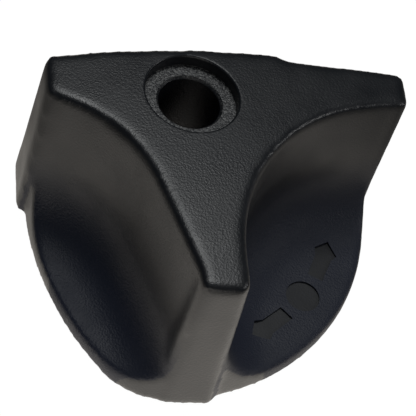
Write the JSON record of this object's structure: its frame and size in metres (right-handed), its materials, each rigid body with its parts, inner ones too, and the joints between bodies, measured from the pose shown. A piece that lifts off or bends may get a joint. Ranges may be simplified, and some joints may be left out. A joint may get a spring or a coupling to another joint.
{
  "type": "control knob",
  "caption": "Moulded plastic control knob: a T-shaped grip on a thin round plate, with a counterbored shaft bore and rotation marks.",
  "frame": {"origin": "bore axis, in the plane of the base face", "axes": "+Z along the bore out of the top face, +X towards the right arm, -Y towards the front arm"},
  "size_m": [0.0655, 0.0535, 0.0321],
  "materials": {
    "moulded_plastic": "fine grained black plastic, slightly satin"
  },
  "bodies": {
    "root": {"knob": "moulded_plastic"}
  },
  "joints": []
}
